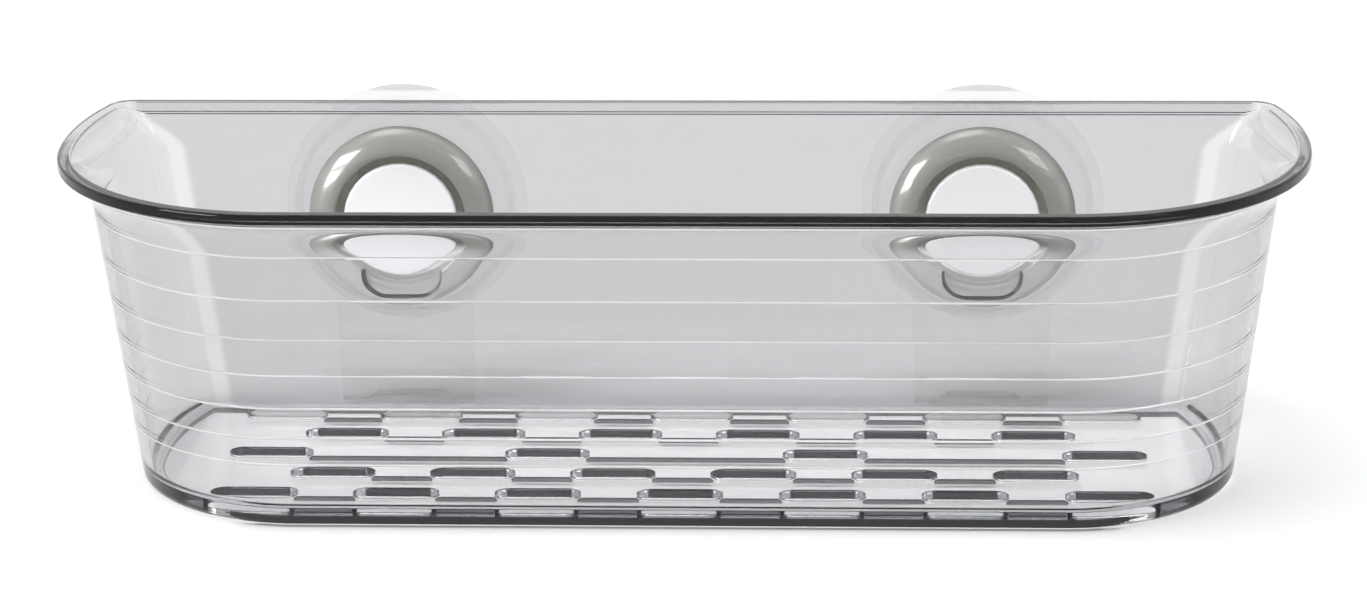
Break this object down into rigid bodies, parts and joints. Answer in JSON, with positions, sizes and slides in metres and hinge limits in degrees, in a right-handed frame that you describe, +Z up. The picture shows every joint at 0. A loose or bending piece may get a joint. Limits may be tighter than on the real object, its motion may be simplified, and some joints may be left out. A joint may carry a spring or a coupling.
{
  "type": "shower basket",
  "caption": "Clear D-shaped shower basket with a flared rim and a slotted floor, held to a tiled wall by lever-lock suction cups.",
  "frame": {"origin": "centre of the footprint, at the level that the basket stands on", "axes": "+Z up, +X along the basket's width, +Y towards the wall that the cups stick to; the basket's front faces -Y"},
  "size_m": [0.3024, 0.1094, 0.0843],
  "materials": {
    "basket_plastic": "clear, glossy",
    "bezel_plastic": "clear with an olive-grey tint, glossy",
    "bracket_plastic": "clear with an olive-grey tint, glossy",
    "cup_vinyl": "soft clear vinyl",
    "stem_plastic": "satin",
    "lever_plastic": "white, glossy",
    "pin_steel": "drawn wire"
  },
  "bodies": {
    "basket_body": {"basket_tub": "basket_plastic", "left_front_bezel": "bezel_plastic", "right_front_bezel": "bezel_plastic", "left_mount_bracket": "bracket_plastic", "right_mount_bracket": "bracket_plastic"},
    "left_plunger": {"left_cup_stem": "stem_plastic", "left_suction_cup": "cup_vinyl"},
    "left_flap": {"left_lock_lever": "lever_plastic", "left_pivot_pin": "pin_steel"},
    "right_plunger": {"right_cup_stem": "stem_plastic", "right_suction_cup": "cup_vinyl"},
    "right_flap": {"right_lock_lever": "lever_plastic", "right_pivot_pin": "pin_steel"}
  },
  "joints": [
    {"name": "left_stem_slide", "type": "slide", "parent": "basket_body", "child": "left_plunger", "axis": [0, 1, 0], "range_m": [0, 0.003]},
    {"name": "left_lever_hinge", "type": "hinge", "parent": "left_plunger", "child": "left_flap", "pos_m": [-0.073, 0.04085, 0.0627], "axis": [-1, 0, 0], "range_deg": [0, 60]},
    {"name": "right_stem_slide", "type": "slide", "parent": "basket_body", "child": "right_plunger", "axis": [0, 1, 0], "range_m": [0, 0.003]},
    {"name": "right_lever_hinge", "type": "hinge", "parent": "right_plunger", "child": "right_flap", "pos_m": [0.073, 0.04085, 0.0627], "axis": [-1, 0, 0], "range_deg": [0, 60]}
  ],
  "couplings": [
    {"joint": "left_stem_slide", "follows": "left_lever_hinge", "m_per_rad": 0.0028647},
    {"joint": "right_stem_slide", "follows": "right_lever_hinge", "m_per_rad": 0.0028647}
  ]
}
